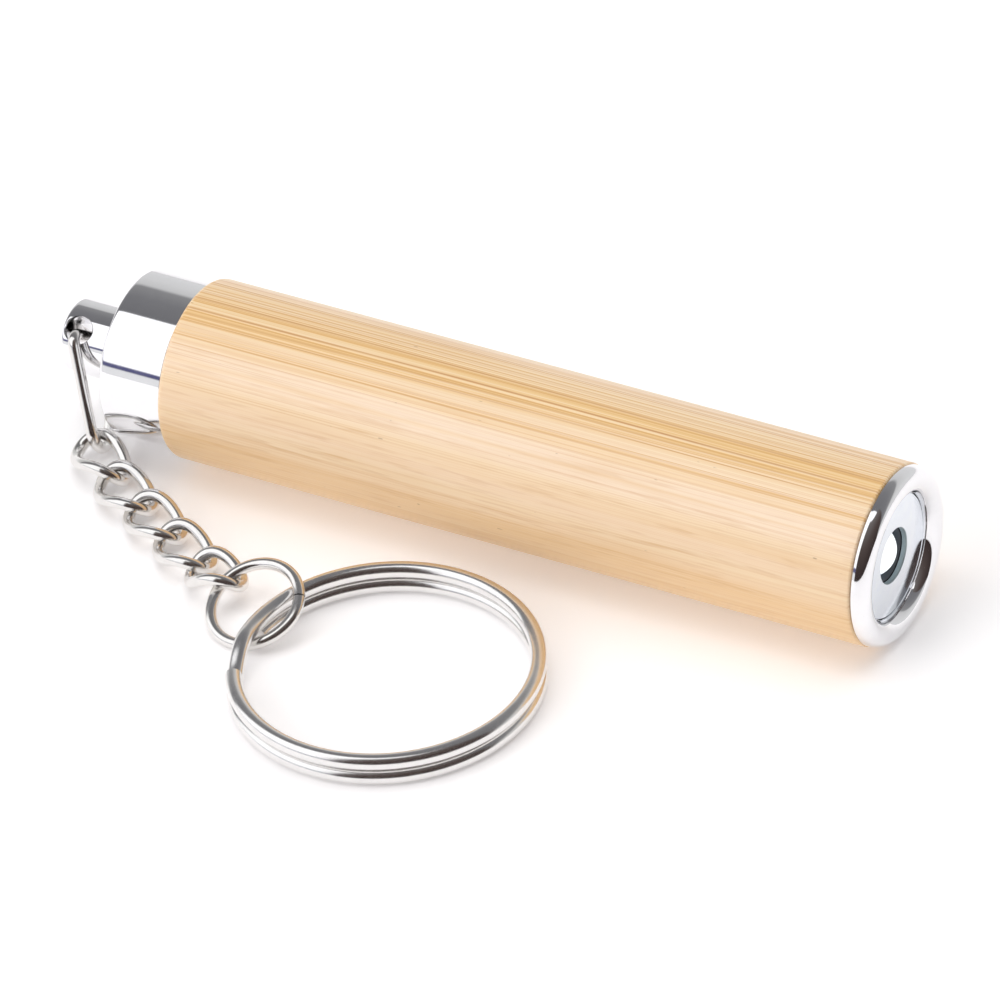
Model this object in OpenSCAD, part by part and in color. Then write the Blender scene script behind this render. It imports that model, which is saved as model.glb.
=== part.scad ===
// Keychain flashlight: a bamboo-sleeved barrel, a chrome bezel with one 5 mm LED, a screw-in tail cap
// that works as the switch, and a curb chain with a split key ring.
// The barrel lies along X with the lens towards +X. The origin is on its axis at the middle of the
// sleeve, and the surface that the flashlight lies on is half a sleeve diameter below it.

/* [Bamboo sleeve] */
// Outer diameter of the sleeve
sleeve_d = 17; // [15:0.5:20]
// Length of the sleeve
sleeve_len = 70.8; // [66:0.2:80]
// Wall of the sleeve
sleeve_wall = 1.35; // [1:0.05:1.6]
// Rounding of the sleeve's end edges
sleeve_round = 0.6; // [0.2:0.1:0.9]

/* [Head] */
// Radius of the bead around the bezel
bead_r = 1.25; // [0.8:0.05:1.25]
// Diameter of the LED's body
led_d = 5; // [3:1:5]
// Thickness of the reflector plate
plate_t = 0.5; // [0.3:0.1:0.8]

/* [Cells] */
// Diameter of one button cell
cell_d = 11.6; // [11:0.1:11.6]
// Height of one button cell
cell_h = 5.4; // [5:0.1:5.4]

/* [Tail cap] */
// Diameter of the collar
collar_d = 15.7; // [14:0.1:15.7]
// Length of the collar
collar_len = 6.5; // [5:0.5:8]
// Diameter of the stud on the collar
stud_d = 7; // [6:0.5:7]
// Length of the stud
stud_len = 6.8; // [6.5:0.1:8]
// Diameter of the hole across the stud
eye_d = 2.6; // [2.6:0.1:3]

/* [Chain] */
// Wire of the links and of the jump ring
link_wire = 1.15; // [1:0.05:1.15]
// Wire of the oblong link
oblong_wire = 1.1; // [0.9:0.05:1.1]
// Half length of a curb link, on its wire's centre line
link_a = 3.36; // [3.3:0.02:3.4]
// Half width of a curb link, on its wire's centre line
link_b = 2.1; // [1.9:0.1:2.3]
// Twist of a curb link, as the height of its wire above its middle plane
link_rise = 0.8; // [0.7:0.05:0.9]
// Distance from one curb link to the next
link_step = 5.35; // [5.3:0.01:5.36]

/* [Key ring] */
// Mean radius of the split ring
ring_r = 13.7; // [13.5:0.1:14]
// Wire of the split ring
ring_wire = 1.55; // [1.4:0.05:1.55]
// Mean radius of the jump ring
jump_r = 4.26; // [4.2:0.02:4.3]
// Wire of the jump ring
jump_wire = 1.1; // [0.9:0.05:1.1]

/* [Hidden] */
$fn = 72;

// Places along the barrel, measured from the sleeve's tail end towards the lens
half = sleeve_len / 2;
sleeve_r = sleeve_d / 2;
table_z = -sleeve_r;
gap = 0.05;                             // between pieces that are glued or stacked
slip = 0.1;                             // between pieces that slide
tube_r = sleeve_r - sleeve_wall - gap;
bore_r = tube_r - 0.85;                 // inside of the inner tube
tube_tail = 0.4;
bezel_back = sleeve_len + gap;
floor_s = sleeve_len + 0.2;             // face of the reflector plate
bead_mid = sleeve_r - 0.1 - bead_r;     // radius of the bead's centre
recess_r = bead_mid - bead_r;           // edge of the reflector plate
plate_back = floor_s - plate_t;
spigot_len = 6.8;
spigot_wall = 0.65;
holder_r = bore_r - gap - spigot_wall - gap;
led_r = led_d / 2;
led_flange_r = led_r + 0.4;
led_tip = floor_s;
led_base = led_tip - 8.6;
lead_gap = 2.54;                        // spacing of the LED's leads
board_front = led_base - 2.4;
board_t = 1;
pin_len = 4.1;
cells_front = board_front - board_t - pin_len - 0.02;
cell_step = cell_h + 0.02;
cells_tail = cells_front - 4 * cell_step;
plug_r = bore_r - slip;
collar_s = -collar_len;
stud_s = collar_s - stud_len;
eye_s = stud_s + 1.8;
plug_end = 7;
plug_recess = 5;
contact_t = 0.5;
spring_s = plug_recess + contact_t + 0.05;
spring_len = 8.7;
spacer_s = spring_s + spring_len + 0.05;

// Rest places of the chain, whose wires lie on the table beside the barrel's tail
eye_turn = 42;                          // hole across the stud, turned from upright towards -Y
bar_turn = 50;                          // bar of the oblong link, which leans inside that hole
oblong_swing = 20.7;                    // lean of the oblong link from the plane across the barrel
oblong_len = 10.25;                     // from its bar to the bottom of its bend
oblong_half = 4.5;                      // half spacing of its legs at the bar
bend_r = 1.9;
corner_r = 0.9;
heading = -30;                          // the way the straight links run, from +X
chain_dir = [cos(heading), sin(heading), 0];
chain_start = [-37.73, -11.38, table_z + 1.45];
link_places = [
    [[-42.02, -8.13, table_z + 1.63], [-8, 0.7, -36]],
    [chain_start, [0, 0, heading]],
    [chain_start + link_step * chain_dir, [0, 0, heading]],
    [chain_start + 2 * link_step * chain_dir, [0, 0, heading]],
    [[-23.79, -19.33, table_z + 2.09], [-0.8, -13.4, -30.2]]
];
jump_place = [-18.1, -22.02, table_z + 2.31];
jump_tilt = [23.2, -6.3, 0];
ring_place = [-2.94, -25.09, table_z];
ring_step = ring_wire + 0.05;           // height from one turn to the other
top_end = 209.5;                        // the top turn's free end, and then the angles of the drop
drop_start = 185;
drop_end = 207.5;
low_end = 176.5;                        // the bottom turn's free end

// Unit vector along v
function unit(v) = v / norm(v);

// Points of a round wire's surface: one ring of points across the path at every point of it
function ring_points(path, closed, r, sides) = [
    for (i = [0:len(path) - 1])
        let (
            n = len(path),
            ahead = closed ? path[(i + 1) % n] : path[min(i + 1, n - 1)],
            behind = closed ? path[(i + n - 1) % n] : path[max(i - 1, 0)],
            along = unit(ahead - behind),
            side = unit(cross([0, 0, 1], along)),
            over = cross(along, side)
        )
        for (k = [0:sides - 1])
            path[i] + r * (cos(360 * k / sides) * side + sin(360 * k / sides) * over)
];

// A round wire swept along a path, as a closed loop or with flat ends
module wire(path, r, closed = false, sides = 10) {
    n = len(path);
    spans = closed ? n - 1 : n - 2;
    walls = [
        for (i = [0:spans], k = [0:sides - 1])
            let (j = (i + 1) % n, m = (k + 1) % sides)
            [i * sides + k, i * sides + m, j * sides + m, j * sides + k]
    ];
    ends = [
        [for (k = [sides - 1:-1:0]) k],
        [for (k = [0:sides - 1]) (n - 1) * sides + k]
    ];
    polyhedron(ring_points(path, closed, r, sides), closed ? walls : concat(walls, ends), convexity = 6);
}

// Turns a profile about the barrel's axis: x is the radius, y the place along the barrel
module lathe() {
    rotate([0, 90, 0]) rotate_extrude() translate([0, -half]) children();
}

// Profile of a plain ring, from radius r0 to r1 and from s0 to s1 along the barrel
module band(r0, r1, s0, s1) {
    translate([r0, s0]) square([r1 - r0, s1 - s0]);
}

module bamboo_sleeve() {
    inner = tube_r + gap;
    color("burlywood") lathe() union() {
        band(inner, sleeve_r, sleeve_round, sleeve_len - sleeve_round);
        band(inner, sleeve_r - sleeve_round, 0, sleeve_len);
        for (s = [sleeve_round, sleeve_len - sleeve_round])
            translate([sleeve_r - sleeve_round, s]) circle(sleeve_round);
    }
}

module inner_tube() {
    color("silver") lathe() band(bore_r, tube_r, tube_tail, sleeve_len - 0.4);
}

module bezel() {
    spigot_r = bore_r - gap;
    color("gainsboro") lathe() {
        intersection() {
            translate([bead_mid, floor_s]) circle(bead_r);
            band(recess_r, sleeve_r, floor_s, floor_s + bead_r);
        }
        band(recess_r, bead_mid + bead_r, bezel_back, floor_s);
        band(recess_r, spigot_r, plate_back, floor_s);
        band(spigot_r - spigot_wall, spigot_r, plate_back - spigot_len, plate_back);
    }
}

module reflector_plate() {
    color("lightgray") lathe() band(led_r + 0.1, recess_r - gap, plate_back, floor_s);
}

module led() {
    color("azure") lathe() {
        band(0, led_flange_r, led_base, led_base + 1);
        band(0, led_r, led_base + 1, led_tip - led_r);
        intersection() {
            translate([0, led_tip - led_r]) circle(led_r);
            band(0, led_r, led_tip - led_r, led_tip);
        }
    }
}

module led_leads() {
    color("silver") for (y = [-lead_gap / 2, lead_gap / 2])
        translate([board_front - half, y, 0]) rotate([0, 90, 0])
            cylinder(r = 0.25, h = led_base - board_front);
}

module led_holder() {
    color("dimgray") lathe() {
        band(led_r + gap, holder_r, led_base + 1.05, plate_back - 0.1);
        band(led_flange_r + gap, holder_r, led_base - 0.8, led_base + 1.05);
        band(holder_r - 0.9, holder_r, board_front, led_base - 0.8);
    }
}

module resistor() {
    color("saddlebrown") translate([board_front - half, -0.8, -4.2]) cube([0.7, 1.6, 1.6]);
}

module contact_board() {
    color("darkgreen") lathe() band(0, bore_r - gap, board_front - board_t, board_front);
}

module contact_pin() {
    back = board_front - board_t;
    color("gold") lathe() {
        band(0, 2.2, back - 0.8, back);
        band(0, 1.2, back - pin_len, back - 0.8);
    }
}

module cell_sleeve() {
    color("khaki") lathe() band(cell_d / 2 + gap, bore_r - slip, cells_tail, cells_front - 0.4);
}

// One button cell, whose wide can faces the lens and whose smaller lid faces the tail
module cell(i) {
    front = cells_front - i * cell_step;
    lid = 0.5;
    color("lightsteelblue") lathe() {
        band(0, cell_d / 2, front - cell_h + lid, front);
        band(0, cell_d / 2 - 0.7, front - cell_h, front - cell_h + lid);
    }
}

module spacer_tube() {
    color("white") lathe() band(1.5, cell_d / 2, spacer_s, cells_tail);
}

module spacer_rod() {
    color("gold") lathe() band(0, 1.45, spacer_s, cells_tail);
}

module tail_spring() {
    turns = 5;
    coil_r = 4;
    spring_wire = 0.7;
    rise = spring_len - spring_wire;
    path = [
        for (i = [0:turns * 18])
            [coil_r * cos(20 * i), coil_r * sin(20 * i), spring_wire / 2 + rise * i / (turns * 18)]
    ];
    color("silver") translate([spring_s - half, 0, 0]) rotate([0, 90, 0])
        wire(path, spring_wire / 2, sides = 8);
}

module tail_contact() {
    color("gold") lathe() band(0, 5, plug_recess, plug_recess + contact_t);
}

module o_ring() {
    cord_r = 0.6;
    color("black") lathe() translate([bore_r - 0.03 - cord_r, 3.3]) circle(cord_r);
}

module tail_cap() {
    collar_r = collar_d / 2;
    stud_r = stud_d / 2;
    edge = 0.4;
    stud_edge = 0.6;
    neck = -gap;
    groove = 4.9;
    color("gainsboro") difference() {
        lathe() polygon([
            [0, stud_s], [stud_r - stud_edge, stud_s], [stud_r, stud_s + stud_edge],
            [stud_r, collar_s],
            [collar_r - edge, collar_s], [collar_r, collar_s + edge], [collar_r, neck],
            [plug_r, neck], [plug_r, 2.6], [groove, 2.6], [groove, 4], [plug_r, 4],
            [plug_r, plug_end], [5.2, plug_end], [5.2, plug_recess], [0, plug_recess]
        ]);
        translate([eye_s - half, 0, 0]) rotate([eye_turn, 0, 0])
            cylinder(d = eye_d, h = stud_d + 2, center = true);
    }
}

// The oblong link's bends are rings of the full wire, and its straight stretches are a hair thinner,
// so that each one ends inside the bends it joins
module oblong_link() {
    depth = oblong_len - bend_r;
    reach = norm([depth, oblong_half]);
    slope = atan2(oblong_half, depth) - asin(bend_r / reach);
    leg = sqrt(reach * reach - bend_r * bend_r);
    corner = corner_r * tan(45 + slope / 2);
    hair = 0.01;
    r = oblong_wire / 2;
    bar = oblong_half - corner;
    color("silver") translate([eye_s - half, 0, 0]) rotate([bar_turn, 0, 0])
        rotate([0, 0, oblong_swing]) {
            cylinder(r = r - hair, h = 2 * (bar + hair), center = true);
            translate([0, -depth, 0]) rotate([0, 90, 0]) rotate([0, 0, 180 + slope])
                rotate_extrude(angle = 180 - 2 * slope) translate([bend_r, 0]) circle(r);
            for (side = [0, 1]) mirror([0, 0, side]) {
                translate([0, -corner_r, bar]) rotate([0, 90, 0]) rotate([0, 0, 90])
                    rotate_extrude(angle = 90 + slope) translate([corner_r, 0]) circle(r);
                translate([0, 0, oblong_half]) rotate([90 + slope, 0, 0])
                    translate([0, 0, corner - hair])
                        cylinder(r = r - hair, h = leg - corner + 2 * hair);
            }
        }
}

// One twisted link of the curb chain
module curb_link(i) {
    path = [
        for (t = [0:7.5:352.5])
            [link_a * cos(t), link_b * sin(t), -link_rise * sin(2 * t)]
    ];
    color("silver") translate(link_places[i][0]) rotate(link_places[i][1])
        wire(path, link_wire / 2, closed = true);
}

module jump_ring() {
    cut = 1.5;                          // angle of the cut where the ring was closed
    color("silver") translate(jump_place) rotate(jump_tilt) rotate([0, 0, 20 + cut / 2])
        rotate_extrude(angle = 360 - cut) translate([jump_r, 0]) circle(d = jump_wire);
}

// Height of the split ring's wire at angle t, which drops from the top turn to the bottom turn once
function ring_height(t) =
    let (a = drop_start + 360, b = drop_end + 360, low = ring_wire / 2)
    t <= a ? low + ring_step : t >= b ? low : low + ring_step * (1 + cos(180 * (t - a) / (b - a))) / 2;

module split_ring() {
    rings = 120;
    sweep = low_end + 720 - top_end;
    path = [
        for (i = [0:rings])
            let (t = top_end + sweep * i / rings)
            [ring_r * cos(t), ring_r * sin(t), ring_height(t)]
    ];
    color("silver") translate(ring_place) wire(path, ring_wire / 2, sides = 12);
}

bamboo_sleeve();
inner_tube();
bezel();
reflector_plate();
led();
led_leads();
led_holder();
resistor();
contact_board();
contact_pin();
cell_sleeve();
for (i = [0:3]) cell(i);
spacer_tube();
spacer_rod();
tail_spring();
tail_contact();
o_ring();
tail_cap();
oblong_link();
for (i = [0:4]) curb_link(i);
jump_ring();
split_ring();
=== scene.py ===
import math

import bmesh
import bpy
from mathutils import Matrix, Vector

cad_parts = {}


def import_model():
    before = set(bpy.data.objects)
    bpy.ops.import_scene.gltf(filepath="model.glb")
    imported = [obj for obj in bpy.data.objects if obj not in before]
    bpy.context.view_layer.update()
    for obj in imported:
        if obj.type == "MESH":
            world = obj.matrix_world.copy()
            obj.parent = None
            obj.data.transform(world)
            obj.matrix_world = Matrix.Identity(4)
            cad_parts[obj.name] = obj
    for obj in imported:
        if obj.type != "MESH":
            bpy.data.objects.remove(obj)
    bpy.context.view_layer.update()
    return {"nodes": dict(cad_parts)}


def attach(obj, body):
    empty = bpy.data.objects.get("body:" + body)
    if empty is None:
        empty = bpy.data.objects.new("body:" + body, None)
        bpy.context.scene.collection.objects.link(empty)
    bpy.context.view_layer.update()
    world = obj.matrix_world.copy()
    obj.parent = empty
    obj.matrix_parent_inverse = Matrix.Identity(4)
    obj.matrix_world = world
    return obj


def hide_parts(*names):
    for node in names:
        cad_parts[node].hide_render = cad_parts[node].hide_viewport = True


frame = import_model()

MM = 0.001


# ---------------------------------------------------------------- camera
def rad(d):
    return d * math.pi / 180


def make_camera():
    az, el, roll = rad(31.135), rad(37.733), rad(-4.939)
    back = Vector((math.sin(az) * math.cos(el), -math.cos(az) * math.cos(el), math.sin(el)))
    right = Vector((math.cos(az), math.sin(az), 0))
    up = back.cross(right)
    side = right * math.cos(roll) + up * math.sin(roll)
    over = up * math.cos(roll) - right * math.sin(roll)
    data = bpy.data.cameras.new("camera")
    data.sensor_width = 36
    data.lens = 395.0
    data.clip_start = 0.01
    data.clip_end = 20
    obj = bpy.data.objects.new("camera", data)
    bpy.context.scene.collection.objects.link(obj)
    place = Matrix((side, over, back)).transposed().to_4x4()
    place.translation = Vector((-6.398, 2.709, -8.5)) * MM + back * 1.002
    obj.matrix_world = place
    bpy.context.scene.camera = obj


make_camera()


# ---------------------------------------------------------------- mesh helpers
def add_mesh(name, verts, faces, body, slot, nodes, smooth=True):
    """A piece from points in mm. It rides on a body and replaces its CAD nodes."""
    mesh = bpy.data.meshes.new(name)
    mesh.from_pydata([Vector(v) * MM for v in verts], [], faces)
    mesh.validate()
    obj = bpy.data.objects.new(name, mesh)
    bpy.context.scene.collection.objects.link(obj)
    if smooth:
        mesh.shade_smooth()
    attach(obj, body)
    if nodes:
        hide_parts(*nodes)
    return obj


def arc(cx, cr, radius, a0, a1, n):
    """Points (x, r) on an arc, from angle a0 to a1 measured from +x towards +r."""
    turns = [rad(a0 + (a1 - a0) * i / n) for i in range(n + 1)]
    return [(cx + radius * math.cos(t), cr + radius * math.sin(t)) for t in turns]


def lathe(profile, seg):
    """Turns a closed profile of (x, r) points round the X axis. Points with r = 0 become one vertex."""
    verts, faces, rings = [], [], []
    for x, r in profile:
        if r < 1e-9:
            rings.append([len(verts)] * seg)
            verts.append((x, 0, 0))
        else:
            rings.append(list(range(len(verts), len(verts) + seg)))
            turns = [2 * math.pi * k / seg for k in range(seg)]
            verts += [(x, r * math.cos(t), r * math.sin(t)) for t in turns]
    n = len(profile)
    for i in range(n):
        a, b = rings[i], rings[(i + 1) % n]
        if a[0] == a[1] and b[0] == b[1]:
            continue
        for k in range(seg):
            m = (k + 1) % seg
            quad = []
            for v in (a[k], b[k], b[m], a[m]):
                if v not in quad:
                    quad.append(v)
            faces.append(quad)
    return verts, faces


def outward(obj):
    """Turns every face outward."""
    bm = bmesh.new()
    bm.from_mesh(obj.data)
    bmesh.ops.recalc_face_normals(bm, faces=bm.faces)
    bm.to_mesh(obj.data)
    bm.free()
    obj.data.shade_smooth()


def sharpen(obj, angle=35):
    """Marks edges sharper than an angle, so that bevels and flats don't shade into each other."""
    obj.data.set_sharp_from_angle(angle=rad(angle))


def tube(path, radius, sides, closed, ref, place):
    """A round wire along a path of points in mm. ref is a direction that the path never follows."""
    n = len(path)
    pts = [Vector(p) for p in path]
    verts, faces = [], []
    for i, p in enumerate(pts):
        ahead = pts[(i + 1) % n] if closed else pts[min(i + 1, n - 1)]
        behind = pts[i - 1] if closed else pts[max(i - 1, 0)]
        along = (ahead - behind).normalized()
        side = Vector(ref).cross(along).normalized()
        over = along.cross(side)
        for k in range(sides):
            t = 2 * math.pi * k / sides
            verts.append(place @ (p + radius * (math.cos(t) * side + math.sin(t) * over)))
    for i in range(n if closed else n - 1):
        j = (i + 1) % n
        for k in range(sides):
            m = (k + 1) % sides
            faces.append((i * sides + k, i * sides + m, j * sides + m, j * sides + k))
    if not closed:
        faces.append(list(range(sides))[::-1])
        faces.append([(n - 1) * sides + k for k in range(sides)])
    return verts, faces


# ---------------------------------------------------------------- material helpers
def srgb(r, g, b, a=1.0):
    def lin(c):
        c /= 255
        return c / 12.92 if c <= 0.04045 else ((c + 0.055) / 1.055) ** 2.4
    return (lin(r), lin(g), lin(b), a)


class Nodes:
    """A short way to write a material's nodes."""

    def __init__(self, name):
        self.mat = bpy.data.materials.new(name)
        self.mat.use_nodes = True
        self.tree = self.mat.node_tree
        self.shader = self.tree.nodes["Principled BSDF"]

    def new(self, kind, **values):
        node = self.tree.nodes.new("ShaderNode" + kind)
        for key, value in values.items():
            setattr(node, key, value)
        return node

    def link(self, a, b):
        self.tree.links.new(a, b)

    def put(self, socket, value):
        if isinstance(value, bpy.types.NodeSocket):
            self.link(value, socket)
        else:
            socket.default_value = value

    def math(self, op, a, b=0.0, clamp=False):
        node = self.new("Math", operation=op, use_clamp=clamp)
        self.put(node.inputs[0], a)
        self.put(node.inputs[1], b)
        return node.outputs[0]

    def coords(self, sx, sy, sz):
        """Object coordinates times a scale for each axis, per metre."""
        tex = self.new("TexCoord")
        mul = self.new("VectorMath", operation="MULTIPLY")
        self.link(tex.outputs["Object"], mul.inputs[0])
        mul.inputs[1].default_value = (sx, sy, sz)
        return mul.outputs[0]

    def noise(self, vector, scale=1.0, detail=2.0, rough=0.5, distortion=0.0):
        node = self.new("TexNoise")
        self.link(vector, node.inputs["Vector"])
        node.inputs["Scale"].default_value = scale
        node.inputs["Detail"].default_value = detail
        node.inputs["Roughness"].default_value = rough
        node.inputs["Distortion"].default_value = distortion
        return node.outputs["Fac"]

    def ramp(self, fac, stops, interpolation="LINEAR"):
        node = self.new("ValToRGB")
        band = node.color_ramp
        band.interpolation = interpolation
        while len(band.elements) > 1:
            band.elements.remove(band.elements[-1])
        for i, (pos, colour) in enumerate(stops):
            if not isinstance(colour, (tuple, list)):
                colour = (colour, colour, colour, 1)
            if i == 0:
                el = band.elements[0]
                el.position = pos
            else:
                el = band.elements.new(pos)
            el.color = colour
        self.put(node.inputs[0], fac)
        return node.outputs[0]

    def radius(self, sep):
        """How far a separated point is from the X axis."""
        squares = [self.math("POWER", sep.outputs[k], 2.0) for k in (1, 2)]
        return self.math("SQRT", self.math("ADD", *squares))

    def mix(self, fac, a, b):
        node = self.new("Mix", data_type="RGBA")
        self.put(node.inputs["Factor"], fac)
        self.put(node.inputs[6], a)
        self.put(node.inputs[7], b)
        return node.outputs[2]

    def span(self, value, a, b, c, d):
        node = self.new("MapRange")
        self.put(node.inputs[0], value)
        for i, v in enumerate((a, b, c, d)):
            node.inputs[i + 1].default_value = v
        return node.outputs[0]

    def bump(self, height, strength, distance):
        node = self.new("Bump")
        node.inputs["Strength"].default_value = strength
        node.inputs["Distance"].default_value = distance
        self.put(node.inputs["Height"], height)
        self.link(node.outputs[0], self.shader.inputs["Normal"])

    def set(self, **values):
        for key, value in values.items():
            self.put(self.shader.inputs[key.replace("_", " ")], value)
        return self.mat


def metal(name, colour, rough, spread=0.04, tint=0.05, grain=None, bump=0.0):
    """A plated or drawn metal. grain is the scale of its drawn lines on each axis, per metre."""
    n = Nodes(name)
    cloud = n.noise(n.coords(900, 900, 900), 1.0, 3.0, 0.6)
    fine = n.noise(n.coords(*(grain or (5200, 5200, 5200))), 1.0, 2.0, 0.6)
    dark = tuple(c * (1 - tint) for c in colour[:3]) + (1,)
    base = n.mix(n.span(cloud, 0.3, 0.7, 0, 1), dark, colour)
    r = n.math("ADD", n.span(cloud, 0.25, 0.75, rough, rough + spread), n.span(fine, 0.35, 0.75, 0, spread))
    if bump:
        n.bump(n.math("ADD", fine, n.math("MULTIPLY", cloud, 0.4)), bump, 0.00002)
    return n.set(Base_Color=base, Metallic=1.0, Roughness=r)


def plain(name, colour, rough, spread=0.1, tint=0.12, scale=1500, metallic=0.0, bump=0.1):
    """A moulded, painted or rubber surface with a slight mottling and a fine grain."""
    n = Nodes(name)
    cloud = n.noise(n.coords(scale, scale, scale), 1.0, 4.0, 0.6)
    dark = tuple(c * (1 - tint) for c in colour[:3]) + (1,)
    base = n.mix(n.span(cloud, 0.3, 0.7, 0, 1), dark, colour)
    n.bump(cloud, bump, 0.00003)
    gloss = n.span(cloud, 0.3, 0.7, rough, rough + spread)
    return n.set(Base_Color=base, Metallic=metallic, Roughness=gloss)


# ---------------------------------------------------------------- bamboo
def bamboo():
    n = Nodes("bamboo_strips")
    tex = n.new("TexCoord")
    sep = n.new("SeparateXYZ")
    n.link(tex.outputs["Object"], sep.inputs[0])
    _, y, z = sep.outputs
    # 0 at the bottom of the barrel, rising through the chain's side to the top
    turn = n.math("DIVIDE", n.math("ARCTAN2", y, n.math("MULTIPLY", z, -1.0)), -2 * math.pi)
    turn = n.math("FRACT", n.math("ADD", turn, 1.0))
    # the fibres drift a little sideways along the length
    drift = n.noise(n.coords(18, 160, 160), 1.0, 2.0, 0.5)
    angle = n.math("ADD", turn, n.span(drift, 0.3, 0.7, -0.0022, 0.0022))

    def at(deg):
        """Place of a direction round the barrel, in degrees from +Y towards +Z."""
        return ((270 - deg) % 360) / 360

    def stops(table):
        out = sorted((at(d), srgb(*c) if isinstance(c, tuple) else c) for d, c in table)
        return out

    # the tone of each laminated strip
    tone = n.ramp(angle, stops([
        (262, (238, 204, 160)), (248, (243, 211, 168)), (240, (236, 201, 156)), (228, (241, 209, 166)),
        (218, (239, 205, 160)), (206, (235, 199, 150)), (196, (238, 203, 157)), (188, (239, 204, 158)),
        (180, (242, 211, 172)), (172, (244, 216, 178)), (164, (244, 215, 182)), (156, (243, 213, 176)),
        (150, (244, 216, 178)), (143, (247, 222, 194)), (134, (246, 221, 194)), (126, (246, 220, 190)),
        (118, (244, 217, 183)), (111, (243, 212, 170)), (105, (243, 209, 158)), (98, (243, 211, 163)),
        (92, (243, 213, 168)), (86, (243, 214, 176)), (78, (245, 218, 182)), (70, (244, 215, 180)),
        (60, (242, 214, 180)), (44, (244, 216, 178)), (28, (240, 207, 162)), (10, (243, 214, 176)),
        (-14, (239, 204, 158)), (-40, (244, 216, 180)), (-64, (240, 208, 165)), (-88, (238, 204, 160)),
    ]))

    def lines(table):
        """A mask that is 1 at each stated direction: (degrees, half width in degrees, strength).

        A ramp has 256 steps, so each one covers a sixth of the turn to keep the lines sharp.
        """
        sectors = 6
        mask = 0.0
        for k in range(sectors):
            stops_here = []
            for d, w, s in table:
                if int(at(d) * sectors) == k:
                    middle, half = at(d) * sectors - k, w / 360 * sectors
                    stops_here += [(middle - half, 0.0), (middle, s), (middle + half, 0.0)]
            if stops_here:
                here = n.span(angle, k / sectors, (k + 1) / sectors, 0, 1)
                mask = n.math("ADD", mask, n.ramp(here, sorted(stops_here)))
        return mask

    bold = lines([
        (72.4, 0.9, 0.55), (83.6, 0.6, 0.4), (85.2, 0.6, 0.4), (92.6, 1.0, 0.75), (101.6, 1.1, 1.0),
        (106.6, 1.5, 0.5), (111.6, 0.6, 0.7), (119.8, 0.5, 0.4), (122.4, 0.6, 0.45), (65.0, 0.8, 0.3),
    ])
    faint = lines([
        (128.5, 0.7, 0.35), (146.0, 0.4, 0.45), (150.6, 0.5, 0.5), (152.2, 0.5, 0.45), (171.0, 0.7, 0.3),
        (178.5, 0.8, 0.3), (40.0, 0.9, 0.6), (20.0, 1.0, 0.7), (-6.0, 0.8, 0.6), (-30.0, 1.0, 0.5),
    ])
    # fibre bundles, which are long lines on the side and dots on the cut ends
    fibres = n.noise(n.coords(9, 4200, 4200), 1.0, 2.0, 0.8)
    hair = n.noise(n.coords(16, 6800, 6800), 1.0, 1.0, 0.6)
    patches = n.noise(n.coords(55, 520, 520), 1.0, 3.0, 0.55)
    along = n.noise(n.coords(70, 260, 260), 1.0, 3.0, 0.6)
    # strips whose edge grain faces out are full of lines, and the others are smooth
    edge = n.ramp(angle, stops([
        (262, 0.3), (200, 0.25), (170, 0.2), (153, 0.25), (140, 0.45), (124, 0.8), (108, 1.0), (80, 1.0),
        (58, 0.8), (44, 0.3), (22, 0.9), (-10, 0.9), (-30, 0.3), (-60, 0.7), (-88, 0.4),
    ]))
    bundle = n.math("MULTIPLY", n.span(fibres, 0.52, 0.62, 0, 1), edge)
    light = n.math("MULTIPLY", n.span(fibres, 0.48, 0.38, 0, 1), edge)
    bands = n.noise(n.coords(6, 1500, 1500), 1.0, 1.0, 0.5)
    golden = n.math("MULTIPLY", n.math("MULTIPLY", n.span(bands, 0.5, 0.62, 0, 1), edge), 0.5)
    col = n.mix(golden, tone, srgb(236, 196, 130))
    col = n.mix(n.math("MULTIPLY", bundle, 0.72), col, srgb(216, 163, 90))
    col = n.mix(n.math("MULTIPLY", light, 0.5), col, srgb(250, 230, 200))
    col = n.mix(n.math("MULTIPLY", n.span(hair, 0.5, 0.68, 0, 1), 0.22), col, srgb(226, 180, 118))
    col = n.mix(n.math("MULTIPLY", n.span(patches, 0.5, 0.75, 0, 1), 0.3), col, srgb(226, 182, 124))
    # the smooth strips have short, soft streaks instead
    dashes = n.noise(n.coords(150, 2300, 2300), 1.0, 2.0, 0.6)
    calm = n.math("SUBTRACT", 1.0, edge)
    streaks = n.math("MULTIPLY", n.math("MULTIPLY", n.span(dashes, 0.54, 0.70, 0, 1), calm), 0.4)
    col = n.mix(streaks, col, srgb(208, 156, 94))
    keep = n.span(along, 0.2, 0.75, 0.35, 1.0)
    col = n.mix(n.math("MULTIPLY", n.math("MULTIPLY", bold, keep), 0.95), col, srgb(190, 122, 48))
    col = n.mix(n.math("MULTIPLY", n.math("MULTIPLY", faint, keep), 0.9), col, srgb(208, 152, 84))
    # a few small dark pores
    pores = n.noise(n.coords(900, 3800, 3800), 1.0, 0.0, 0.5)
    col = n.mix(n.math("MULTIPLY", n.span(pores, 0.865, 0.90, 0, 1), 0.5), col, srgb(150, 104, 62))
    height = n.math("ADD", n.math("MULTIPLY", fibres, 0.7), n.math("MULTIPLY", hair, 0.5))
    height = n.math("SUBTRACT", height, n.math("MULTIPLY", n.math("ADD", bold, faint), 0.6))
    n.bump(height, 0.22, 0.00004)
    rough = n.math("ADD", n.span(fibres, 0.3, 0.7, 0.36, 0.46), n.math("MULTIPLY", bold, 0.08))
    n.set(Base_Color=col, Roughness=rough)
    n.shader.inputs["Specular IOR Level"].default_value = 0.5
    n.shader.inputs["Coat Weight"].default_value = 0.25
    n.shader.inputs["Coat Roughness"].default_value = 0.3
    return n.mat


# ---------------------------------------------------------------- pieces
HALF = 35.4


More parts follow.
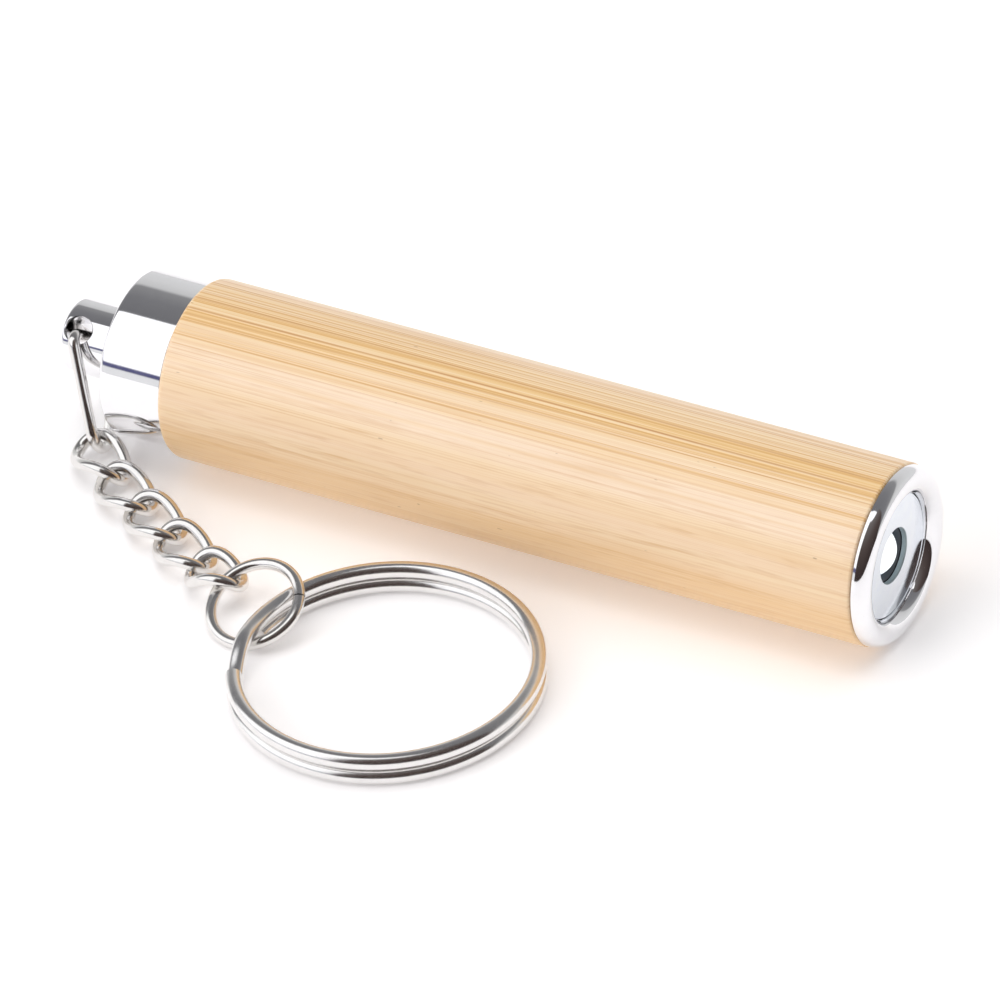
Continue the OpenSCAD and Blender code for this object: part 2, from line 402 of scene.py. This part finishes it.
def sleeve():
    inner = 7.15
    profile = [(-HALF, inner + 0.12), (-HALF + 0.12, inner), (HALF - 0.12, inner), (HALF, inner + 0.12)]
    profile += arc(HALF - 0.3, 8.5 - 0.3, 0.3, 0, 90, 8)
    profile += [(HALF - 0.3 - (2 * HALF - 0.9) * i / 60, 8.5) for i in range(1, 60)]
    profile += arc(-HALF + 0.6, 8.5 - 0.6, 0.6, 90, 180, 14)
    obj = add_mesh("bamboo_sleeve_skin", *lathe(profile, 256), "barrel", "bamboo", ["bamboo_sleeve"])
    outward(obj)
    sharpen(obj, 40)
    obj.data.materials.append(bamboo())


def bezel(chrome):
    floor = HALF + 0.2
    profile = [(HALF + 0.05, 8.35), (HALF + 0.1, 8.4)]
    profile += arc(floor, 7.15, 1.25, 90, 0, 40)[:-1] + arc(floor, 7.15, 1.25, 0, -84, 40)
    profile += [(floor, 5.9), (floor - 0.5, 5.9), (floor - 0.5, 5.6), (floor - 7.3, 5.6)]
    profile += [(floor - 7.3, 6.2), (HALF + 0.05, 6.2)]
    obj = add_mesh("bezel_bead", *lathe(profile, 320), "barrel", "chrome_plate", ["bezel"])
    outward(obj)
    sharpen(obj, 40)
    obj.data.materials.append(chrome)


def reflector(mirror):
    back, face = HALF - 0.3, HALF + 0.2
    profile = [(back, 2.6), (face - 0.12, 2.6)]
    rim = [rad(t) for t in range(15, 91, 15)]
    profile += [(face - 0.12 + 0.12 * math.sin(t), 2.72 - 0.12 * math.cos(t)) for t in rim]
    profile += [(face, 2.72 + 3.05 * i / 12) for i in range(1, 12)]
    profile += [(face, 5.77), (face - 0.08, 5.85), (back, 5.85)]
    obj = add_mesh("reflector_disc", *lathe(profile, 192), "barrel", "mirror_plate", ["reflector_plate"])
    outward(obj)
    sharpen(obj, 30)
    obj.data.materials.append(mirror)


def led_lamp(epoxy):
    tip, r = HALF + 0.2, 2.5
    base = tip - 8.6
    profile = [(base, 0), (base, 2.8), (base + 0.1, 2.9), (base + 0.9, 2.9), (base + 1, 2.8), (base + 1, r)]
    profile += [(base + 1 + (tip - r - base - 1) * i / 8, r) for i in range(1, 8)]
    profile += arc(tip - r, 0, r, 90, 0, 32)
    obj = add_mesh("led_dome", *lathe(profile, 96), "barrel", "led_epoxy", ["led"])
    outward(obj)
    sharpen(obj, 40)
    obj.data.materials.append(epoxy)


def cap(chrome):
    collar_end, stud_end, neck = -HALF - 6.5, -HALF - 13.3, -HALF - 0.05
    plug_r, groove, plug_end, recess = 6.15, 4.9, -HALF + 7, -HALF + 5
    profile = [(stud_end, 0), (stud_end, 1.4), (stud_end, 2.75), (stud_end + 0.02, 2.9)]
    profile += [
        (stud_end + 0.6 - 0.6 * math.cos(rad(t)), 2.9 + 0.6 * math.sin(rad(t))) for t in range(12, 91, 6)
    ]
    profile += [(stud_end + 0.6 + (collar_end - stud_end - 0.75) * i / 40, 3.5) for i in range(1, 41)]
    profile += [(collar_end - 0.15 * math.cos(rad(t)), 3.65 - 0.15 * math.sin(rad(t))) for t in (60, 30)]
    profile += [(collar_end, 3.65), (collar_end, 5.4), (collar_end, 7.35)]
    shoulder = [rad(t) for t in range(10, 91, 8)]
    profile += [(collar_end + 0.4 - 0.4 * math.cos(t), 7.45 + 0.4 * math.sin(t)) for t in shoulder]
    profile += [(collar_end + 0.4 + (neck - collar_end - 0.5) * i / 12, 7.85) for i in range(1, 13)]
    profile += [(neck, 7.75), (neck, plug_r)]
    profile += [(-HALF + 2.6, plug_r), (-HALF + 2.6, groove), (-HALF + 4, groove), (-HALF + 4, plug_r)]
    profile += [(plug_end - 0.15, plug_r), (plug_end, plug_r - 0.15), (plug_end, 5.2)]
    profile += [(recess, 5.2), (recess, 0)]
    obj = add_mesh("tail_cap_body", *lathe(profile, 256), "tail_cap", "chrome_plate", ["tail_cap"])
    outward(obj)
    # the hole across the stud, with its rim rounded over
    eye = Vector((-HALF - 11.5, 0, 0))
    hole = Vector((0, -math.sin(rad(42)), math.cos(rad(42))))
    flare = [(-4.2, 2.35)]
    flare += [(-3.05 - 0.55 * math.cos(rad(t)), 1.85 - 0.55 * math.sin(rad(t))) for t in range(0, 91, 9)]
    flare += [(-x, r) for x, r in flare[::-1]]
    closed = [(flare[0][0], 0)] + flare + [(flare[-1][0], 0)]
    verts, faces = lathe(closed, 96)
    turn = Vector((1, 0, 0)).rotation_difference(hole).to_matrix()
    cutter_mesh = bpy.data.meshes.new("cutter")
    cutter_mesh.from_pydata([(turn @ Vector(v) + eye) * MM for v in verts], [], faces)
    cutter = bpy.data.objects.new("cutter", cutter_mesh)
    bpy.context.scene.collection.objects.link(cutter)
    outward(cutter)
    mod = obj.modifiers.new("hole", "BOOLEAN")
    mod.operation = "DIFFERENCE"
    mod.solver = "EXACT"
    mod.object = cutter
    depsgraph = bpy.context.evaluated_depsgraph_get()
    cut = bpy.data.meshes.new_from_object(obj.evaluated_get(depsgraph), depsgraph=depsgraph)
    obj.modifiers.clear()
    obj.data = cut
    bpy.data.objects.remove(cutter)
    cut.materials.clear()
    cut.materials.append(chrome)
    cut.shade_smooth()
    # exact normals: those of the turned profile, or of the hole's own profile
    outline = [Vector((x, r)) for x, r in profile]
    hole_line = [Vector((x, r)) for x, r in closed]

    def normals_of(points):
        out = []
        for i in range(len(points)):
            d = points[(i + 1) % len(points)] - points[i]
            out.append(Vector((-d.y, d.x)).normalized() if d.length > 1e-9 else Vector((0, 0)))
        return out

    known = {}

    def nearest(points, normals, p):
        """How far p is from the outline, and the outline's normal there."""
        key = (id(points), round(p.x, 4), round(p.y, 4))
        if key not in known:
            known[key] = search(points, normals, p)
        return known[key]

    def search(points, normals, p):
        best, found = 1e9, Vector((0, 1))
        for i, a in enumerate(points):
            b = points[(i + 1) % len(points)]
            d = b - a
            if d.length_squared < 1e-12 or (a.y < 1e-9 and b.y < 1e-9):
                continue
            t = min(max((p - a).dot(d) / d.length_squared, 0), 1)
            gap = (p - a - d * t).length
            if gap < best - 1e-7:
                best = gap
                smooth = normals[i]
                prev, after = normals[i - 1], normals[(i + 1) % len(points)]
                if t < 0.5 and prev.dot(smooth) > 0.8:
                    smooth = (smooth * (0.5 + t) + prev * (0.5 - t)).normalized()
                elif t >= 0.5 and after.dot(smooth) > 0.8:
                    smooth = (smooth * (1.5 - t) + after * (t - 0.5)).normalized()
                found = smooth
        return best, found

    body_n, hole_n = normals_of(outline), normals_of(hole_line)
    loops = [None] * len(cut.loops)
    for poly in cut.polygons:
        centre = poly.center / MM
        v = centre - eye
        h = v.dot(hole)
        in_hole = Vector((h, (v - hole * h).length))
        gap_hole, _ = nearest(hole_line, hole_n, in_hole)
        on_body = Vector((centre.x, math.hypot(centre.y, centre.z)))
        gap_body, _ = nearest(outline, body_n, on_body)
        use_hole = gap_hole < gap_body and abs(centre.x - eye.x) < 2.6
        flat = poly.normal
        for li in poly.loop_indices:
            p = cut.vertices[cut.loops[li].vertex_index].co / MM
            if use_hole:
                w = p - eye
                t = w.dot(hole)
                out = w - hole * t
                _, nn = nearest(hole_line, hole_n, Vector((t, out.length)))
                normal = (hole * nn.x + out.normalized() * nn.y) * -1
            else:
                out = Vector((0, p.y, p.z))
                _, nn = nearest(outline, body_n, Vector((p.x, out.length)))
                sideways = out.normalized() * nn.y if out.length > 1e-6 else Vector((0, 0, 0))
                normal = Vector((nn.x, 0, 0)) + sideways
            if normal.dot(flat) < 0:
                normal = -normal
            if normal.dot(flat) < 0.6 or normal.length < 0.5:
                normal = flat
            loops[li] = normal.normalized()
    cut.normals_split_custom_set(loops)


def oblong(steel):
    """The long link through the stud: straight legs, a round bend, and two tight corners at its bar."""
    depth_all, half, bend, corner_r = 10.25, 4.5, 1.9, 0.9
    depth = depth_all - bend
    reach = math.hypot(depth, half)
    slope = math.degrees(math.atan2(half, depth) - math.asin(bend / reach))
    leg = math.sqrt(reach * reach - bend * bend)
    corner = corner_r * math.tan(rad(45 + slope / 2))
    bar = half - corner
    # in the link's own plane: u runs from the bar to the bend, w across
    half_path = [(0, bar * i / 6) for i in range(0, 7)]
    tight = [rad((90 + slope) * i / 14) for i in range(1, 15)]
    half_path += [(corner_r - corner_r * math.cos(t), bar + corner_r * math.sin(t)) for t in tight]
    ends = (half_path[-1], (depth + bend * math.sin(rad(slope)), bend * math.cos(rad(slope))))
    half_path += [
        (ends[0][0] + (ends[1][0] - ends[0][0]) * i / 14, ends[0][1] + (ends[1][1] - ends[0][1]) * i / 14)
        for i in range(1, 15)
    ]
    wide = [rad(slope + (90 - slope) * i / 14) for i in range(1, 15)]
    half_path += [(depth + bend * math.sin(t), bend * math.cos(t)) for t in wide]
    full = half_path + [(u, -w) for u, w in half_path[-2:0:-1]]
    tilt = Matrix.Rotation(rad(50), 4, "X") @ Matrix.Rotation(rad(20.7), 4, "Z")
    place = Matrix.Translation((-HALF - 11.5, 0, 0)) @ tilt
    path = [(0, -u, w) for u, w in full]
    verts, faces = tube(path, 0.55, 24, True, (1, 0, 0), place)
    obj = add_mesh("oblong_link_wire", verts, faces, "oblong_link", "nickel_wire", ["oblong_link"])
    outward(obj)
    obj.data.materials.append(steel)


# where each curb link lies: its middle in mm, and its turns about X, Y and Z in degrees
LINKS = [
    ((-42.02, -8.13, -6.87), (-8, 0.7, -36)),
    ((-37.73, -11.38, -7.05), (0, 0, -30)),
    ((-33.0968, -14.055, -7.05), (0, 0, -30)),
    ((-28.4635, -16.73, -7.05), (0, 0, -30)),
    ((-23.79, -19.33, -6.41), (-0.8, -13.4, -30.2)),
]


def turned(at, angles):
    """A placing at a point, turned about X, then Y, then Z."""
    x, y, z = (rad(a) for a in angles)
    spin = Matrix.Rotation(z, 4, "Z") @ Matrix.Rotation(y, 4, "Y") @ Matrix.Rotation(x, 4, "X")
    return Matrix.Translation(at) @ spin


def curb(i, steel):
    a, b, rise = 3.36, 2.1, 0.8
    path = [
        (a * math.cos(rad(t)), b * math.sin(rad(t)), -rise * math.sin(rad(2 * t)))
        for t in [3 * k for k in range(120)]
    ]
    verts, faces = tube(path, 0.575, 24, True, (0, 0, 1), turned(*LINKS[i]))
    name = "curb_link_%d" % (i + 1)
    obj = add_mesh(name + "_wire", verts, faces, name, "nickel_wire", [name])
    outward(obj)
    obj.data.materials.append(steel)


def jump(steel):
    cut = 1.5
    n = 150
    turns = [rad(20 + cut / 2 + (360 - cut) * i / n) for i in range(n + 1)]
    path = [(4.26 * math.cos(t), 4.26 * math.sin(t), 0) for t in turns]
    place = turned((-18.1, -22.02, -8.5 + 2.31), (23.2, -6.3, 0))
    verts, faces = tube(path, 0.55, 24, False, (0, 0, 1), place)
    obj = add_mesh("jump_ring_wire", verts, faces, "jump_ring", "nickel_wire", ["jump_ring"])
    outward(obj)
    sharpen(obj, 50)
    obj.data.materials.append(steel)


def split(steel):
    wire, radius = 1.55, 13.7
    step, low = wire + 0.05, wire / 2
    # where the wire starts and stops, and where one turn drops to the other, in degrees
    start, stop = 209.5, 176.5 + 720
    a, b = 185 + 360, 207.5 + 360
    n = 520

    def height(t):
        if t <= a:
            return low + step
        if t >= b:
            return low
        return low + step * (1 + math.cos(math.pi * (t - a) / (b - a))) / 2

    path = []
    for i in range(n + 1):
        t = start + (stop - start) * i / n
        path.append((radius * math.cos(rad(t)), radius * math.sin(rad(t)), height(t)))

    place = Matrix.Translation((-2.94, -25.09, -8.5))
    verts, faces = tube(path, wire / 2 - 0.004, 28, False, (0, 0, 1), place)
    obj = add_mesh("split_ring_wire", verts, faces, "split_ring", "key_ring_steel", ["split_ring"])
    outward(obj)
    sharpen(obj, 50)
    obj.data.materials.append(steel)


# ---------------------------------------------------------------- finishes
CHROME = metal("chrome_plate", (0.90, 0.90, 0.915, 1), 0.035, 0.03, 0.03)
WIRE = metal("nickel_wire", (0.82, 0.805, 0.785, 1), 0.15, 0.03, 0.06, (1600, 1600, 1600), 0.06)
RING = metal("key_ring_steel", (0.86, 0.85, 0.84, 1), 0.18, 0.03, 0.05, (1600, 1600, 1600), 0.05)


def mirror():
    """Bright plate, with painted shade on the wall of its hole: a dull, rough grey-green there."""
    n = Nodes("mirror_plate")
    tex = n.new("TexCoord")
    sep = n.new("SeparateXYZ")
    n.link(tex.outputs["Object"], sep.inputs[0])
    r = n.radius(sep)
    # painted shade: the wall round the hole is darkened to a rough grey-green
    wall = n.span(r, 0.00262, 0.00270, 1, 0)
    cloud = n.noise(n.coords(900, 900, 900), 1.0, 3.0, 0.6)
    plate = n.mix(n.span(cloud, 0.3, 0.7, 0, 1), (0.80, 0.84, 0.89, 1), (0.84, 0.88, 0.93, 1))
    rough = n.math("ADD", n.span(cloud, 0.25, 0.75, 0.10, 0.15), n.math("MULTIPLY", wall, 0.5))
    return n.set(Base_Color=n.mix(wall, plate, (0.34, 0.39, 0.40, 1)), Metallic=1.0, Roughness=rough)


def epoxy():
    n = Nodes("led_epoxy")
    tex = n.new("TexCoord")
    sep = n.new("SeparateXYZ")
    n.link(tex.outputs["Object"], sep.inputs[0])
    r = n.math("MULTIPLY", n.radius(sep), 1000.0)
    cloud = n.noise(n.coords(700, 700, 700), 1.0, 2.0, 0.5)
    far = n.math("ADD", r, n.span(cloud, 0.3, 0.7, -0.12, 0.12))
    glow = n.ramp(n.math("DIVIDE", far, 2.6), [
        (0.0, (1.0, 1.0, 1.0, 1)), (0.70, (0.93, 0.97, 1.0, 1)), (0.84, (0.62, 0.78, 0.97, 1)),
        (0.95, (0.34, 0.44, 0.52, 1)), (1.0, (0.22, 0.28, 0.31, 1)),
    ])
    clear = n.mix(n.span(cloud, 0.3, 0.7, 0, 1), (0.30, 0.36, 0.36, 1), (0.38, 0.44, 0.45, 1))
    n.set(Base_Color=clear, Roughness=0.08)
    n.link(glow, n.shader.inputs["Emission Color"])
    n.shader.inputs["Emission Strength"].default_value = 1.1
    return n.mat



sleeve()
bezel(CHROME)
reflector(mirror())
led_lamp(epoxy())
cap(CHROME)
oblong(WIRE)
for link in range(5):
    curb(link, WIRE)
jump(WIRE)
split(RING)

INNER = {
    "inner_tube": metal("tube_metal", (0.74, 0.75, 0.76, 1), 0.28, 0.12, 0.1, (300, 6000, 6000), 0.2),
    "led_leads": metal("tinned_wire", (0.75, 0.75, 0.74, 1), 0.3, 0.1, 0.1),
    "led_holder": plain("black_plastic", (0.035, 0.035, 0.038, 1), 0.45),
    "resistor": plain("resistor_body", (0.30, 0.17, 0.09, 1), 0.4),
    "contact_board": plain("board_green", (0.03, 0.22, 0.10, 1), 0.25),
    "contact_pin": metal("brass_contact", (0.83, 0.62, 0.28, 1), 0.2, 0.1, 0.12),
    "cell_sleeve": plain("card_tube", (0.72, 0.62, 0.42, 1), 0.7, scale=2600, bump=0.3),
    "spacer_tube": plain("white_plastic", (0.80, 0.80, 0.78, 1), 0.4),
    "tail_spring": metal("spring_steel", (0.62, 0.62, 0.64, 1), 0.25, 0.1, 0.1, (5200, 5200, 5200), 0.2),
    "o_ring": plain("seal_rubber", (0.018, 0.018, 0.018, 1), 0.5, scale=3000, bump=0.2),
}
CELL = metal("cell_steel", (0.74, 0.74, 0.75, 1), 0.2, 0.1, 0.08, (5200, 2200, 2200), 0.1)
for k in range(1, 5):
    INNER["cell_%d" % k] = CELL
INNER["spacer_rod"] = INNER["tail_contact"] = INNER["contact_pin"]
for node_name, mat in INNER.items():
    for slot in frame["nodes"][node_name].material_slots:
        slot.material = mat


# ---------------------------------------------------------------- floor and light
def floor():
    mesh = bpy.data.meshes.new("floor")
    size = 3.0
    z = -0.0085
    corners = [(-size, -size, z), (size, -size, z), (size, size, z), (-size, size, z)]
    mesh.from_pydata(corners, [], [(0, 1, 2, 3)])
    obj = bpy.data.objects.new("floor", mesh)
    bpy.context.scene.collection.objects.link(obj)
    n = Nodes("floor_white")
    cloud = n.noise(n.coords(40, 40, 40), 1.0, 3.0, 0.5)
    col = n.mix(n.span(cloud, 0.3, 0.7, 0, 1), (0.93, 0.915, 0.915, 1), (0.94, 0.925, 0.925, 1))
    mesh.materials.append(n.set(Base_Color=col, Roughness=0.6))
    # a lit table, which keeps the shadows light
    n.shader.inputs["Emission Color"].default_value = (1.0, 0.985, 0.985, 1)
    n.shader.inputs["Emission Strength"].default_value = 0.2
    n.shader.inputs["Specular IOR Level"].default_value = 0.3


def area(name, at, towards, size, size_y, power, colour=(1, 1, 1)):
    data = bpy.data.lights.new(name, "AREA")
    data.shape = "RECTANGLE"
    data.size = size
    data.size_y = size_y
    data.energy = power
    data.color = colour
    obj = bpy.data.objects.new(name, data)
    bpy.context.scene.collection.objects.link(obj)
    obj.location = at
    obj.rotation_euler = (Vector(towards) - Vector(at)).to_track_quat("-Z", "X").to_euler()
    return obj


def world():
    """A pale studio: a bright front, a grey side behind, and one dark side of the room."""
    w = bpy.data.worlds.new("studio")
    bpy.context.scene.world = w
    w.use_nodes = True
    tree = w.node_tree
    bg = tree.nodes["Background"]
    tex = tree.nodes.new("ShaderNodeTexCoord")
    sep = tree.nodes.new("ShaderNodeSeparateXYZ")
    tree.links.new(tex.outputs["Generated"], sep.inputs[0])
    minus = tree.nodes.new("ShaderNodeMath")
    minus.operation = "MULTIPLY"
    tree.links.new(sep.outputs[1], minus.inputs[0])
    minus.inputs[1].default_value = -1
    turn = tree.nodes.new("ShaderNodeMath")
    turn.operation = "ARCTAN2"
    tree.links.new(sep.outputs[2], turn.inputs[0])
    tree.links.new(minus.outputs[0], turn.inputs[1])
    scale = tree.nodes.new("ShaderNodeMath")
    scale.operation = "DIVIDE"
    tree.links.new(turn.outputs[0], scale.inputs[0])
    scale.inputs[1].default_value = math.pi
    ramp = tree.nodes.new("ShaderNodeValToRGB")
    band = ramp.color_ramp
    band.elements.remove(band.elements[-1])
    steps = [
        (0.0, (0.85, 0.85, 0.86)), (0.048, (0.85, 0.85, 0.86)), (0.056, (0.10, 0.10, 0.21)),
        (0.080, (0.12, 0.12, 0.24)), (0.088, (1.22, 1.22, 1.25)), (0.484, (1.32, 1.32, 1.34)),
        (0.492, (0.17, 0.17, 0.18)), (0.64, (0.20, 0.20, 0.21)), (0.755, (0.27, 0.27, 0.275)),
        (0.785, (0.60, 0.60, 0.60)), (0.86, (0.68, 0.68, 0.68)), (1.0, (0.74, 0.74, 0.745)),
    ]
    for i, (pos, value) in enumerate(steps):
        el = band.elements[0] if i == 0 else band.elements.new(pos)
        el.position = pos
        el.color = (*value, 1)
    tree.links.new(scale.outputs[0], ramp.inputs[0])

    def maths(kind, a, b=None):
        node = tree.nodes.new("ShaderNodeMath")
        node.operation = kind
        for k, value in enumerate((a, b)):
            if value is None:
                continue
            if isinstance(value, (int, float)):
                node.inputs[k].default_value = value
            else:
                tree.links.new(value, node.inputs[k])
        return node.outputs[0]

    def window(value, low, high, soft):
        """1 between low and high, falling to 0 over a soft edge."""
        out = []
        for a, b in ((low - soft, low), (high + soft, high)):
            node = tree.nodes.new("ShaderNodeMapRange")
            node.interpolation_type = "SMOOTHSTEP"
            tree.links.new(value, node.inputs[0])
            node.inputs[1].default_value = min(a, b)
            node.inputs[2].default_value = max(a, b)
            node.inputs[3].default_value = 0 if a < b else 1
            node.inputs[4].default_value = 1 if a < b else 0
            out.append(node.outputs[0])
        return maths("MULTIPLY", out[0], out[1])

    # the dark side of the room, in front and to the right of the light
    az = maths("ARCTAN2", sep.outputs[0], minus.outputs[0])
    rise = maths("ARCSINE", sep.outputs[2])
    dark = maths("MULTIPLY", window(az, rad(-9), rad(98), rad(4)), window(rise, rad(1), rad(72), rad(4)))
    tone = tree.nodes.new("ShaderNodeValToRGB")
    shades = tone.color_ramp
    shades.elements[0].position = 0.0
    shades.elements[0].color = (0.040, 0.028, 0.027, 1)
    shades.elements[1].position = 1.0
    shades.elements[1].color = (0.20, 0.185, 0.18, 1)
    mid = shades.elements.new(0.42)
    mid.color = (0.085, 0.065, 0.060, 1)
    tree.links.new(maths("DIVIDE", rise, rad(90)), tone.inputs[0])
    mix = tree.nodes.new("ShaderNodeMix")
    mix.data_type = "RGBA"
    tree.links.new(dark, mix.inputs[0])
    tree.links.new(ramp.outputs[0], mix.inputs[6])
    tree.links.new(tone.outputs[0], mix.inputs[7])
    tree.links.new(mix.outputs[2], bg.inputs[0])
    bg.inputs[1].default_value = 1.0


floor()
world()
area("key", (-0.30, -0.70, 0.30), (0, 0, 0), 0.6, 0.6, 1.8).visible_glossy = False
area("overhead", (0.05, 0.12, 0.9), (0, 0, 0), 1.0, 1.0, 5.4).visible_glossy = False
bpy.context.scene.view_settings.view_transform = "Standard"
